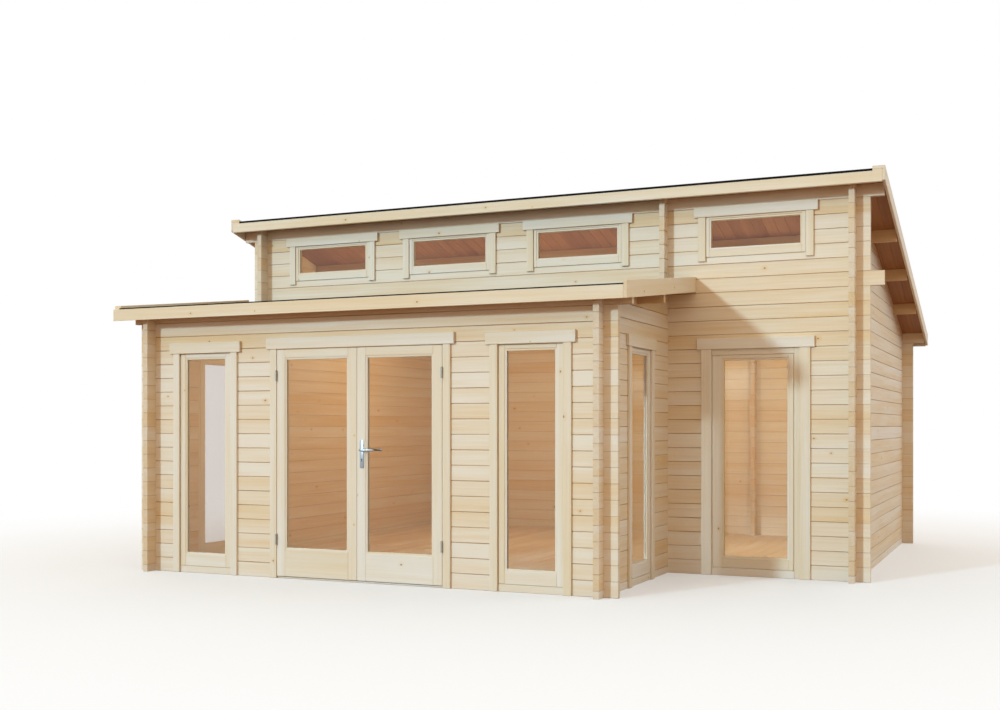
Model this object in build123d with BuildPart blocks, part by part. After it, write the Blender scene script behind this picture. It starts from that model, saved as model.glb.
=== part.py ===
"""Log summerhouse: a low front annex and a taller main block with clerestory windows.

Walls are stacked logs that cross at the corners. Logs of the front and back walls sit
half a course off those of the side walls, and each is notched where it crosses the other.
The logs' long edges are chamfered outside, which leaves a V groove at each joint.
X runs along the front, Y from front to back, Z up. The origin is on the ground, in the
middle of the roof's outline.
"""
import os
from math import cos, radians, tan

from build123d import *

os.makedirs("parts", exist_ok=True)

# Logs
log_thickness = 44.0
course_height = 114.0
log_chamfer = 4.0
log_end = 104.0            # a log runs this far past the wall that it crosses
long_log_end = 207.0       # top logs and purlins run this far, to carry the roof's edge
notch_height = course_height / 2

# Plan, over the outer faces of the walls
annex_width = 3984.0
bay_width = 1496.0
annex_depth = 1595.0
main_depth = 3440.0

# Wall heights at the front face of each block, and the courses where pieces part
annex_wall_height = 2172.0
main_wall_height = 3060.0
passage_courses = 18       # courses below the logs that span the open passages
long_course_main = 21      # course of the main front wall with long ends

# Roofs
main_pitch = 15.0
annex_pitch = 7.0
roof_board = 18.0
felt = 8.0
felt_lip = 8.0             # the main roof's felt turns down over its front board
side_overhang = 235.0
front_overhang = 195.0
back_overhang = 137.0
fascia_thickness = 20.0
fascia_height = 95.0
main_barge_height = 95.0
annex_barge_height = 124.0
annex_barge_thickness = 28.0
annex_left_barge_thickness = 65.0
annex_barge_upstand = 20.0
cap_width = 93.0
cap_thickness = 18.0
main_purlin_count = 3
main_purlin_height = 95.0
annex_purlin_height = 140.0
roof_clearance = 2.0

# Floor
floor_thickness = 28.0

# Frames, trims and glass
trim_width = 62.0
trim_lap = 30.0            # how far a trim laps over the logs
trim_thickness = 18.0
header_height = 89.0
header_overhang = 34.0
header_thickness = 24.0
glass_thickness = 6.0
glass_setback = 24.0

# Tall windows
tall_trim_span = 636.0
tall_glass_width = 382.0
tall_glass_bottom = 163.0
tall_glass_top = 1750.0
tall_opening_top = 1824.0
tall_header_bottom = 1796.0
front_window_inset = 556.0     # from the outer face of the side wall to the window's middle
side_window_shift = 52.5       # from the middle of the annex's depth

# Full-height unit of the right bay, its sash a little left of the middle
bay_trim_span = 868.0
bay_trim_width = 82.0
bay_sash_width = 647.0
bay_sash_shift = -22.0
bay_sash_bottom = 65.0
bay_sash_top = 1768.0
sash_gap = 6.0
sash_gap_depth = 14.0
bay_glass_width = 512.0
bay_glass_bottom = 155.0
bay_glass_top = 1732.0
bay_opening_top = 1850.0
bay_header_bottom = 1821.0
bay_window_shift = -10.0       # from the middle between the bay's side walls

# Clerestory windows, measured down from the top of the main front wall
clerestory_trim_span = 920.0
clerestory_glass_width = 717.0
clerestory_glass_height = 226.0
clerestory_head_drop = 140.0   # down to the opening
clerestory_head_rail = 56.0    # from the opening to the glass
clerestory_sill_rail = 73.0    # from the glass down to the opening
clerestory_trim_tail = 32.0    # the trims end this far below the opening
clerestory_header_lap = 30.0
clerestory_header_height = 80.0
clerestory_spacing = 1213.0
clerestory_shift = -14.0       # the middle window's place, from the middle of the annex

# Double door
door_trim_span = 1596.0
door_opening_top = 1850.0
door_header_bottom = 1810.0
door_gap = 5.0
door_meeting_gap = 7.0
door_leaf_thickness = 44.0
door_leaf_proud = 14.0
door_leaf_bottom = 17.0
door_glass_width = 556.0
door_glass_bottom = 240.0
door_glass_top = 1728.0
sill_height = 12.0
stop_width = 12.0
hinge_radius = 7.0
hinge_height = 84.0
hinge_low_level = 307.0
hinge_high_level = 1600.0
hinge_seat = 0.3
hinge_parting = 0.3        # between the two knuckles of a hinge
hinge_plate_width = 34.0
hinge_plate_height = 36.0
hinge_plate_thickness = 3.0
handle_height = 1019.0
handle_plate_width = 34.0
handle_plate_height = 215.0
handle_plate_thickness = 6.0
handle_plate_drop = 32.0
lever_radius = 9.0
lever_reach = 48.0
lever_length = 130.0

# Faces of the walls
overall_width = annex_width + bay_width
left_face = -overall_width / 2
right_face = overall_width / 2
cross_face = left_face + annex_width
roof_depth = front_overhang + annex_depth + main_depth + back_overhang
front_face = -roof_depth / 2 + front_overhang
main_face = front_face + annex_depth
back_face = main_face + main_depth
roof_left = left_face - side_overhang
roof_right = right_face + side_overhang
annex_roof_right = cross_face + side_overhang
annex_inner_left = roof_left + annex_left_barge_thickness    # logs and felt end at the barge board
annex_log_span = cross_face + long_log_end - annex_inner_left
annex_middle = left_face + annex_width / 2
half_log = log_thickness / 2
frame_depth = log_thickness
hinge_levels = (hinge_low_level, hinge_high_level)
passage_front_level = passage_courses * course_height
passage_side_level = (passage_courses - 0.5) * course_height

# Middles of the crossing columns, along X and along Y
left_column = left_face + half_log
cross_column = cross_face - half_log
right_column = right_face - half_log
front_column = front_face + half_log
main_column = main_face + half_log
back_column = back_face - half_log

main_slope = tan(radians(main_pitch))
annex_slope = tan(radians(annex_pitch))
main_roof_rise = (roof_board + felt) / cos(radians(main_pitch))
annex_roof_rise = (roof_board + felt) / cos(radians(annex_pitch))


def main_underside(y):
    """Height of the main roof's underside at a depth."""
    return main_wall_height - (y - main_face) * main_slope


def annex_underside(y):
    """Height of the annex roof's underside at a depth."""
    return annex_wall_height + (y - front_face) * annex_slope


course_total = int(main_wall_height // course_height) + 2
front_joints = [k * course_height for k in range(course_total)]
front_grooves = front_joints[1:]
side_joints = [(k + 0.5) * course_height for k in range(course_total)]


def groove_sections(face, inward, levels):
    """Sections of the V grooves in a wall's outer face, one at each log joint."""
    for level in levels:
        Polygon(
            (face, level - log_chamfer), (face, level + log_chamfer),
            (face + inward * log_chamfer, level),
            align=None,
        )


def notch_crossings(centres, levels):
    """Cut one notch per log joint in each crossing column."""
    with Locations(*[(x, y, z) for x, y in centres for z in levels]):
        Box(log_thickness, log_thickness, notch_height, mode=Mode.SUBTRACT)


def outline(y_low, y_high, bottom, top, mode=Mode.ADD):
    """Side view of a piece between two depths, its bottom and top each a level or a slope."""
    def level(edge, y):
        return edge(y) if callable(edge) else edge

    corners = [
        (y_low, level(bottom, y_low)), (y_high, level(bottom, y_high)),
        (y_high, level(top, y_high)), (y_low, level(top, y_low)),
    ]
    Polygon(*corners, align=None, mode=mode)


def raised(underside, rise):
    """Slope parallel to a roof's underside, higher by a vertical rise."""
    return lambda y: underside(y) + rise


def right_view(x, y=0):
    """Plane that faces +X, with Y to the right and Z up."""
    return Plane(origin=(x, y, 0), x_dir=(0, 1, 0), z_dir=(1, 0, 0))


def left_view(x, y):
    """Plane that faces -X, with Z up."""
    return Plane(origin=(x, y, 0), x_dir=(0, -1, 0), z_dir=(-1, 0, 0))


def front_view(x, y):
    """Plane that faces the front, with X to the right, Z up and the normal outwards."""
    return Plane(origin=(x, y, 0), x_dir=(1, 0, 0), z_dir=(0, -1, 0))


def save(name, part):
    """Label one piece and write its file."""
    part.label = name
    export_step(part, f"parts/{name}.step")


def box_between(low, high, mode=Mode.ADD):
    """Box between two corners."""
    size = [b - a for a, b in zip(low, high)]
    middle = [(a + b) / 2 for a, b in zip(low, high)]
    with Locations(tuple(middle)):
        Box(*size, mode=mode)


tall_opening = tall_trim_span - 2 * trim_lap
bay_opening = bay_trim_span - 2 * trim_lap
clerestory_opening = clerestory_trim_span - 2 * trim_lap
door_opening = door_trim_span - 2 * trim_lap

front_window_centres = (left_face + front_window_inset, cross_face - front_window_inset)
side_window_y = annex_depth / 2 + side_window_shift
bay_middle = (cross_face + right_face - log_thickness) / 2 + bay_window_shift
clerestory_middle = annex_middle + clerestory_shift
clerestory_centres = [
    clerestory_middle - clerestory_spacing,
    clerestory_middle,
    clerestory_middle + clerestory_spacing,
    bay_middle,
]
clerestory_opening_top = main_wall_height - clerestory_head_drop
clerestory_glass_top = clerestory_opening_top - clerestory_head_rail
clerestory_glass_bottom = clerestory_glass_top - clerestory_glass_height
clerestory_opening_bottom = clerestory_glass_bottom - clerestory_sill_rail
clerestory_trim_bottom = clerestory_opening_bottom - clerestory_trim_tail
clerestory_header_bottom = clerestory_opening_top - clerestory_header_lap

# Floors
with BuildPart() as floor_main:
    box_between(
        (left_face + log_thickness, main_face + log_thickness, 0),
        (right_face - log_thickness, back_face - log_thickness, floor_thickness),
    )
    box_between(
        (cross_face - log_thickness, main_face, 0),
        (cross_face, main_face + log_thickness + log_end, floor_thickness),
        Mode.SUBTRACT,
    )
    box_between(
        (cross_face - log_thickness, back_face - log_thickness - log_end, 0),
        (cross_face, back_face, floor_thickness),
        Mode.SUBTRACT,
    )
save("floor_main", floor_main.part)

with BuildPart() as floor_annex:
    box_between(
        (left_face + log_thickness, front_face + log_thickness, 0),
        (cross_face - log_thickness, main_face + log_thickness, floor_thickness),
    )
    box_between(
        (left_face, main_face, 0),
        (left_face + log_thickness + log_end, main_face + log_thickness, floor_thickness),
        Mode.SUBTRACT,
    )
    box_between(
        (cross_face - log_thickness - log_end, main_face, 0),
        (cross_face, main_face + log_thickness, floor_thickness),
        Mode.SUBTRACT,
    )
save("floor_annex", floor_annex.part)

# Annex front wall, parted beside and over the double door
door_left = annex_middle - door_opening / 2
door_right = annex_middle + door_opening / 2
annex_corners = [(left_column, front_column), (cross_column, front_column)]
annex_span = annex_width - 2 * log_thickness
head_level = tall_opening_top

for name, x_low, x_high, window_x in (
    ("annex_front_wall_left", left_face - log_end, door_left, front_window_centres[0]),
    ("annex_front_wall_right", door_right, cross_face + log_end, front_window_centres[1]),
):
    with BuildPart() as annex_front_wall_side:
        box_between((x_low, front_face, 0), (x_high, front_face + log_thickness, head_level))
        box_between(
            (window_x - tall_opening / 2, front_face, 0),
            (window_x + tall_opening / 2, front_face + log_thickness, head_level),
            Mode.SUBTRACT,
        )
        notch_crossings(annex_corners, front_joints)
        with BuildSketch(right_view(left_face + log_thickness)):
            groove_sections(front_face, 1, front_grooves)
        extrude(amount=annex_span, mode=Mode.SUBTRACT)
    save(name, annex_front_wall_side.part)

with BuildPart() as annex_front_wall_over_door:
    with BuildSketch(right_view(left_face - log_end)):
        outline(front_face, front_face + log_thickness, head_level, annex_underside)
    extrude(amount=annex_width + 2 * log_end)
    with BuildSketch(right_view(annex_inner_left)):
        outline(front_face, front_face + log_thickness, passage_front_level, annex_underside)
    extrude(amount=annex_log_span)
    box_between(
        (door_left, front_face, head_level),
        (door_right, front_face + log_thickness, door_opening_top),
        Mode.SUBTRACT,
    )
    notch_crossings(annex_corners, front_joints)
    with BuildSketch(right_view(left_face + log_thickness)):
        groove_sections(front_face, 1, front_grooves)
    extrude(amount=annex_span, mode=Mode.SUBTRACT)
save("annex_front_wall_over_door", annex_front_wall_over_door.part)

# Main front wall: right bay, short left end, and the clerestory over both
main_corners = [(x, main_column) for x in (left_column, cross_column, right_column)]

with BuildPart() as main_front_wall_right_bay:
    box_between(
        (cross_face - log_thickness - log_end, main_face, 0),
        (right_face + log_end, main_face + log_thickness, passage_front_level),
    )
    box_between(
        (bay_middle - bay_opening / 2, main_face, 0),
        (bay_middle + bay_opening / 2, main_face + log_thickness, bay_opening_top),
        Mode.SUBTRACT,
    )
    notch_crossings(main_corners, front_joints)
    with BuildSketch(right_view(cross_face)):
        groove_sections(main_face, 1, front_grooves)
    extrude(amount=bay_width - log_thickness, mode=Mode.SUBTRACT)
save("main_front_wall_right_bay", main_front_wall_right_bay.part)

with BuildPart() as main_front_wall_left_end:
    box_between(
        (left_face - log_end, main_face, 0),
        (left_face + log_thickness + log_end, main_face + log_thickness, passage_front_level),
    )
    notch_crossings(main_corners, front_joints)
save("main_front_wall_left_end", main_front_wall_left_end.part)

with BuildPart() as clerestory_wall:
    with BuildSketch(right_view(left_face - log_end)):
        outline(main_face, main_face + log_thickness, passage_front_level, main_underside)
    extrude(amount=overall_width + 2 * log_end)
    low_edge = main_underside(main_face + log_thickness)
    top_course = int((low_edge - notch_height) // course_height) * course_height
    with BuildSketch(right_view(left_face - long_log_end)):
        outline(main_face, main_face + log_thickness, top_course, main_underside)
    extrude(amount=overall_width + 2 * long_log_end)
    box_between(
        (left_face - long_log_end, main_face, (long_course_main - 1) * course_height),
        (right_face + long_log_end, main_face + log_thickness, long_course_main * course_height),
    )
    for window_x in clerestory_centres:
        box_between(
            (window_x - clerestory_opening / 2, main_face, clerestory_opening_bottom),
            (window_x + clerestory_opening / 2, main_face + log_thickness, clerestory_opening_top),
            Mode.SUBTRACT,
        )
    notch_crossings(main_corners, front_joints)
    with BuildSketch(right_view(left_face + log_thickness)):
        groove_sections(main_face, 1, front_grooves)
    extrude(amount=overall_width - 2 * log_thickness, mode=Mode.SUBTRACT)
save("clerestory_wall", clerestory_wall.part)

# Back wall
back_corners = [(x, back_column) for x in (left_column, cross_column, right_column)]
back_top_course = passage_front_level

with BuildPart() as back_wall:
    with BuildSketch(right_view(left_face - log_end)):
        outline(back_face - log_thickness, back_face, 0, main_underside)
    extrude(amount=overall_width + 2 * log_end)
    with BuildSketch(right_view(left_face - long_log_end)):
        outline(back_face - log_thickness, back_face, back_top_course, main_underside)
    extrude(amount=overall_width + 2 * long_log_end)
    notch_crossings(back_corners, front_joints)
    with BuildSketch(right_view(left_face + log_thickness)):
        groove_sections(back_face, -1, front_grooves)
    extrude(amount=overall_width - 2 * log_thickness, mode=Mode.SUBTRACT)
save("back_wall", back_wall.part)

# Purlins: their places, used by the walls that they rest in
purlin_bay = (main_depth - log_thickness) / (main_purlin_count + 1)
main_purlin_ys = [main_column + purlin_bay * (i + 1) for i in range(main_purlin_count)]
annex_purlin_y = front_face + annex_depth / 2


def purlin_profile(y, height, underside, mode=Mode.ADD):
    """Side view of a purlin, its top planed to the roof's slope."""
    outline(y - half_log, y + half_log, underside(y) - height, underside, mode)


def main_purlin_profiles(mode=Mode.ADD):
    """Side view of all main purlins."""
    for y in main_purlin_ys:
        purlin_profile(y, main_purlin_height, main_underside, mode)


def annex_purlin_profile(mode=Mode.ADD):
    """Side view of the annex purlin."""
    purlin_profile(annex_purlin_y, annex_purlin_height, annex_underside, mode)


def annex_roof_slot():
    """Side view of the space that the annex roof takes in a side wall."""
    top = raised(annex_underside, annex_roof_rise + roof_clearance)
    outline(front_face - front_overhang, main_face, annex_underside, top, Mode.SUBTRACT)


def side_window_opening():
    """Side view of the opening for a tall window in the annex's side walls."""
    y = front_face + side_window_y
    outline(y - tall_opening / 2, y + tall_opening / 2, 0, tall_opening_top, Mode.SUBTRACT)


# Side walls
main_span = main_depth - 2 * log_thickness
whole_span = annex_depth + main_span

with BuildPart() as left_wall:
    with BuildSketch(right_view(left_face)):
        outline(front_face - log_end, main_face, 0, annex_underside)
        outline(main_face - log_end, back_face + log_end, 0, main_underside)
        annex_roof_slot()
        side_window_opening()
        annex_purlin_profile(Mode.SUBTRACT)
        main_purlin_profiles(Mode.SUBTRACT)
    extrude(amount=log_thickness)
    notch_crossings([(left_column, y) for y in (front_column, main_column, back_column)], side_joints)
    with BuildSketch(front_view(0, front_face + log_thickness)):
        groove_sections(left_face, 1, side_joints)
    extrude(amount=-whole_span, mode=Mode.SUBTRACT)
save("left_wall", left_wall.part)

with BuildPart() as right_wall:
    with BuildSketch(right_view(right_face - log_thickness)):
        outline(main_face - log_end, back_face + log_end, 0, main_underside)
        main_purlin_profiles(Mode.SUBTRACT)
    extrude(amount=log_thickness)
    notch_crossings([(right_column, y) for y in (main_column, back_column)], side_joints)
    with BuildSketch(front_view(0, main_face + log_thickness)):
        groove_sections(right_face, -1, side_joints)
    extrude(amount=-main_span, mode=Mode.SUBTRACT)
save("right_wall", right_wall.part)

cross_corners = [(cross_column, y) for y in (front_column, main_column, back_column)]

with BuildPart() as annex_side_wall:
    with BuildSketch(right_view(cross_face - log_thickness)):
        outline(front_face - log_end, main_face + log_thickness + log_end, 0, passage_side_level)
        side_window_opening()
    extrude(amount=log_thickness)
    notch_crossings(cross_corners, side_joints)
    with BuildSketch(front_view(0, front_face + log_thickness)):
        groove_sections(cross_face, -1, side_joints)
    extrude(amount=log_thickness - annex_depth, mode=Mode.SUBTRACT)
save("annex_side_wall", annex_side_wall.part)

with BuildPart() as cross_beam_wall:
    with BuildSketch(right_view(cross_face - log_thickness)):
        outline(front_face - log_end, main_face, passage_side_level, annex_underside)
        outline(main_face - log_end, back_face + log_end, passage_side_level, main_underside)
        annex_roof_slot()
        annex_purlin_profile(Mode.SUBTRACT)
        main_purlin_profiles(Mode.SUBTRACT)
    extrude(amount=log_thickness)
    notch_crossings(cross_corners, side_joints)
    with BuildSketch(front_view(0, front_face + log_thickness)):
        groove_sections(cross_face, -1, side_joints)
    extrude(amount=log_thickness - annex_depth, mode=Mode.SUBTRACT)
save("cross_beam_wall", cross_beam_wall.part)

with BuildPart() as cross_wall_back_end:
    with BuildSketch(right_view(cross_face - log_thickness)):
        outline(back_face - log_thickness - log_end, back_face + log_end, 0, passage_side_level)
    extrude(amount=log_thickness)
    notch_crossings(cross_corners, side_joints)
save("cross_wall_back_end", cross_wall_back_end.part)

# Purlins
with BuildPart() as main_purlins:
    with BuildSketch(right_view(left_face - long_log_end)):
        main_purlin_profiles()
    extrude(amount=overall_width + 2 * long_log_end)
save("main_purlins", main_purlins.part)

with BuildPart() as annex_purlin:
    with BuildSketch(right_view(annex_inner_left)):
        annex_purlin_profile()
    extrude(amount=annex_log_span)
save("annex_purlin", annex_purlin.part)


def roof_layer(y_low, y_high, underside, low, high):
    """Side view of one layer of a roof, between two heights over the underside."""
    outline(y_low, y_high, raised(underside, low), raised(underside, high))


# Main roof
main_front_edge = main_face - front_overhang
main_back_edge = back_face + back_overhang
main_board_rise = roof_board / cos(radians(main_pitch))
main_width = roof_right - roof_left

with BuildPart() as main_roof_boards:
    with BuildSketch(right_view(roof_left + fascia_thickness)):
        roof_layer(
            main_front_edge + fascia_thickness, main_back_edge - fascia_thickness,
            main_underside, 0, main_board_rise,
        )
    extrude(amount=main_width - 2 * fascia_thickness)
save("main_roof_boards", main_roof_boards.part)

with BuildPart() as main_roof_felt:
    with BuildSketch(right_view(roof_left + fascia_thickness)):
        roof_layer(main_front_edge, main_back_edge, main_underside, main_board_rise, main_roof_rise)
        roof_layer(
            main_front_edge, main_front_edge + fascia_thickness, main_underside,
            main_board_rise - felt_lip, main_board_rise,
        )
    extrude(amount=main_width - 2 * fascia_thickness)
save("main_roof_felt", main_roof_felt.part)

with BuildPart() as main_fascias:
    for y_low, lip in ((main_front_edge, felt_lip), (main_back_edge - fascia_thickness, 0)):
        with BuildSketch(right_view(roof_left + fascia_thickness)):
            roof_layer(
                y_low, y_low + fascia_thickness, main_underside,
                main_board_rise - fascia_height, main_board_rise - lip,
            )
        extrude(amount=main_width - 2 * fascia_thickness)
save("main_fascias", main_fascias.part)

with BuildPart() as main_barge_boards:
    for x, x_cap in ((roof_left, roof_left), (roof_right - fascia_thickness, roof_right - cap_width)):
        with BuildSketch(right_view(x)):
            roof_layer(
                main_front_edge, main_back_edge, main_underside,
                main_roof_rise - main_barge_height, main_roof_rise,
            )
        extrude(amount=fascia_thickness)
        with BuildSketch(right_view(x_cap)):
            roof_layer(
                main_front_edge, main_back_edge, main_underside,
                main_roof_rise, main_roof_rise + cap_thickness,
            )
        extrude(amount=cap_width)
save("main_barge_boards", main_barge_boards.part)

# Annex roof
annex_front_edge = front_face - front_overhang
annex_board_rise = roof_board / cos(radians(annex_pitch))
annex_felt_width = annex_roof_right - annex_barge_thickness - annex_inner_left

with BuildPart() as annex_roof_boards:
    with BuildSketch(right_view(annex_inner_left)):
        roof_layer(annex_front_edge + fascia_thickness, main_face, annex_underside, 0, annex_board_rise)
    extrude(amount=annex_felt_width)
save("annex_roof_boards", annex_roof_boards.part)

with BuildPart() as annex_roof_felt:
    with BuildSketch(right_view(annex_inner_left)):
        roof_layer(annex_front_edge, main_face, annex_underside, annex_board_rise, annex_roof_rise)
    extrude(amount=annex_felt_width)
save("annex_roof_felt", annex_roof_felt.part)

with BuildPart() as annex_fascia:
    with BuildSketch(right_view(annex_inner_left)):
        roof_layer(
            annex_front_edge, annex_front_edge + fascia_thickness, annex_underside,
            annex_board_rise - fascia_height, annex_board_rise,
        )
    extrude(amount=annex_felt_width)
save("annex_fascia", annex_fascia.part)

with BuildPart() as annex_barge_boards:
    barge_top = annex_roof_rise + annex_barge_upstand
    for x, thickness in (
        (roof_left, annex_left_barge_thickness),
        (annex_roof_right - annex_barge_thickness, annex_barge_thickness),
    ):
        with BuildSketch(right_view(x)):
            roof_layer(
                annex_front_edge, main_face, annex_underside, barge_top - annex_barge_height, barge_top,
            )
        extrude(amount=thickness)
save("annex_barge_boards", annex_barge_boards.part)


def panel(x_low, x_high, z_low, z_high, mode=Mode.ADD):
    """Rectangle between two corners of a wall's plane."""
    with Locations(((x_low + x_high) / 2, (z_low + z_high) / 2)):
        Rectangle(x_high - x_low, z_high - z_low, mode=mode)


def window_frame(plane, trim_span, glass, opening_z, trim_bottom, header, width=trim_width, sash=None):
    """Frame, sash and outer trims of one window, about its plane's middle line.

    A sash, given by its left, right, bottom and top, is parted from its frame by a gap.
    """
    glass_width, glass_low, glass_high = glass
    header_low, header_high = header
    half = trim_span / 2
    with BuildPart() as frame:
        with BuildSketch(plane.offset(-frame_depth)):
            panel(trim_lap - half, half - trim_lap, *opening_z)
            panel(-glass_width / 2, glass_width / 2, glass_low, glass_high, Mode.SUBTRACT)
        extrude(amount=frame_depth)
        with BuildSketch(plane):
            panel(-half, width - half, trim_bottom, header_low)
            panel(half - width, half, trim_bottom, header_low)
        extrude(amount=trim_thickness)
        with BuildSketch(plane):
            panel(-half - header_overhang, half + header_overhang, header_low, header_high)
        extrude(amount=header_thickness)
        if sash:
            left, right, bottom, top = sash
            with BuildSketch(plane.offset(-sash_gap_depth)):
                panel(left - sash_gap, right + sash_gap, bottom - sash_gap, top + sash_gap)
                panel(left, right, bottom, top, Mode.SUBTRACT)
            extrude(amount=sash_gap_depth, mode=Mode.SUBTRACT)
    return frame.part


tall_glass = (tall_glass_width, tall_glass_bottom, tall_glass_top)
bay_glass = (bay_glass_width, bay_glass_bottom, bay_glass_top)
clerestory_glass = (clerestory_glass_width, clerestory_glass_bottom, clerestory_glass_top)
tall_header = (tall_header_bottom, tall_header_bottom + header_height)
bay_header = (bay_header_bottom, bay_header_bottom + header_height)
clerestory_header = (clerestory_header_bottom, clerestory_header_bottom + clerestory_header_height)

tall_planes = {
    "front_left_window": front_view(front_window_centres[0], front_face),
    "front_right_window": front_view(front_window_centres[1], front_face),
    "annex_side_window": right_view(cross_face, front_face + side_window_y),
    "left_side_window": left_view(left_face, front_face + side_window_y),
}
for name, plane in tall_planes.items():
    save(name, window_frame(plane, tall_trim_span, tall_glass, (0, tall_opening_top), 0, tall_header))

bay_plane = front_view(bay_middle, main_face)
bay_sash = (
    bay_sash_shift - bay_sash_width / 2, bay_sash_shift + bay_sash_width / 2,
    bay_sash_bottom, bay_sash_top,
)
bay_window = window_frame(
    bay_plane, bay_trim_span, bay_glass, (0, bay_opening_top), 0, bay_header, bay_trim_width, bay_sash,
)
save("right_bay_window", bay_window)

clerestory_planes = [front_view(x, main_face) for x in clerestory_centres]
for number, plane in enumerate(clerestory_planes, 1):
    frame = window_frame(
        plane, clerestory_trim_span, clerestory_glass,
        (clerestory_opening_bottom, clerestory_opening_top), clerestory_trim_bottom, clerestory_header,
    )
    save(f"clerestory_window_{number}", frame)

with BuildPart() as tall_window_panes:
    for plane, glass in [(plane, tall_glass) for plane in tall_planes.values()] + [(bay_plane, bay_glass)]:
        with BuildSketch(plane.offset(-glass_setback)):
            panel(-glass[0] / 2, glass[0] / 2, glass[1], glass[2])
        extrude(amount=glass_thickness)
save("tall_window_panes", tall_window_panes.part)

with BuildPart() as clerestory_panes:
    for plane in clerestory_planes:
        with BuildSketch(plane.offset(-glass_setback)):
            panel(-clerestory_glass[0] / 2, clerestory_glass[0] / 2, *clerestory_glass[1:])
        extrude(amount=glass_thickness)
save("clerestory_panes", clerestory_panes.part)

# Double door
door_plane = front_view(annex_middle, front_face)
door_half = door_trim_span / 2
clear_half = door_half - trim_width
stop_setback = door_leaf_thickness - door_leaf_proud + door_gap

with BuildPart() as door_frame:
    with BuildSketch(door_plane.offset(-frame_depth)):
        panel(trim_lap - door_half, door_half - trim_lap, 0, door_opening_top)
        panel(-clear_half, clear_half, sill_height, door_header_bottom, Mode.SUBTRACT)
    extrude(amount=frame_depth)
    with BuildSketch(door_plane.offset(-frame_depth)):
        panel(-clear_half, clear_half, sill_height, door_header_bottom)
        panel(
            stop_width - clear_half, clear_half - stop_width,
            sill_height, door_header_bottom - stop_width, Mode.SUBTRACT,
        )
    extrude(amount=frame_depth - stop_setback)
    with BuildSketch(door_plane):
        panel(-door_half, trim_width - door_half, 0, door_header_bottom)
        panel(door_half - trim_width, door_half, 0, door_header_bottom)
    extrude(amount=trim_thickness)
    with BuildSketch(door_plane):
        panel(
            -door_half - header_overhang, door_half + header_overhang,
            door_header_bottom, door_header_bottom + header_height,
        )
    extrude(amount=header_thickness)
save("door_frame", door_frame.part)

leaf_width = clear_half - door_gap - door_meeting_gap / 2
leaf_top = door_header_bottom - door_gap
leaf_plane = door_plane.offset(door_leaf_proud)
leaf_middle = door_meeting_gap / 2 + leaf_width / 2

for side, sign in (("left", -1), ("right", 1)):
    middle = sign * leaf_middle
    with BuildPart() as door_leaf:
        with BuildSketch(leaf_plane.offset(-door_leaf_thickness)):
            panel(middle - leaf_width / 2, middle + leaf_width / 2, door_leaf_bottom, leaf_top)
            panel(
                middle - door_glass_width / 2, middle + door_glass_width / 2,
                door_glass_bottom, door_glass_top, Mode.SUBTRACT,
            )
        extrude(amount=door_leaf_thickness)
    save(f"door_leaf_{side}", door_leaf.part)

    with BuildPart() as door_pane:
        with BuildSketch(leaf_plane.offset(-glass_setback)):
            panel(
                middle - door_glass_width / 2, middle + door_glass_width / 2,
                door_glass_bottom, door_glass_top,
            )
        extrude(amount=glass_thickness)
    save(f"door_pane_{side}", door_pane.part)

    # Lift-off hinges outside: the upper knuckle turns on the lower one, which the frame carries
    hinge_x = annex_middle + sign * (clear_half - door_gap / 2)
    hinge_y = front_face - trim_thickness - hinge_seat - hinge_radius
    knuckle_height = (hinge_height - hinge_parting) / 2
    knuckle_offset = (hinge_parting + knuckle_height) / 2
    with BuildPart() as frame_hinges:
        with Locations(*[(hinge_x, hinge_y, z - knuckle_offset) for z in hinge_levels]):
            Cylinder(hinge_radius, knuckle_height)
    save(f"frame_hinges_{side}", frame_hinges.part)

    # The upper knuckle is screwed to the leaf by a plate
    leaf_outside = front_face - door_leaf_proud
    with BuildPart() as leaf_hinges:
        for z in hinge_levels:
            upper = z + knuckle_offset
            plate_x = hinge_x - sign * hinge_plate_width / 2
            with Locations((plate_x, leaf_outside - hinge_plate_thickness / 2, upper)):
                Box(hinge_plate_width, hinge_plate_thickness, hinge_plate_height)
            with Locations((hinge_x - sign * hinge_radius / 2, (hinge_y + leaf_outside) / 2, upper)):
                Box(hinge_radius, leaf_outside - hinge_y, hinge_plate_height)
            with Locations((hinge_x, hinge_y, upper)):
                Cylinder(hinge_radius, knuckle_height)
    save(f"leaf_hinges_{side}", leaf_hinges.part)

handle_x = annex_middle + door_meeting_gap / 2 + (leaf_width - door_glass_width) / 4
leaf_inside = leaf_outside + door_leaf_thickness

with BuildPart() as door_handle:
    for face_y, outward in ((leaf_outside, -1), (leaf_inside, 1)):
        plate_y = face_y + outward * handle_plate_thickness / 2
        with Locations((handle_x, plate_y, handle_height - handle_plate_drop)):
            Box(handle_plate_width, handle_plate_thickness, handle_plate_height)
        neck = Plane(origin=(handle_x, face_y, handle_height), z_dir=(0, outward, 0))
        with BuildSketch(neck):
            Circle(lever_radius)
        extrude(amount=lever_reach + lever_radius)
        lever_y = face_y + outward * lever_reach
        lever = Plane(origin=(handle_x, lever_y, handle_height), z_dir=(1, 0, 0))
        with BuildSketch(lever):
            Circle(lever_radius)
        extrude(amount=lever_length)
save("door_handle", door_handle.part)
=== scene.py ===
"""Log summerhouse: spruce logs, boards, joinery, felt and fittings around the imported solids.

Everything is in metres, X along the front, Y from front to back, Z up.
"""
from math import cos, pi, radians, tan

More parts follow.
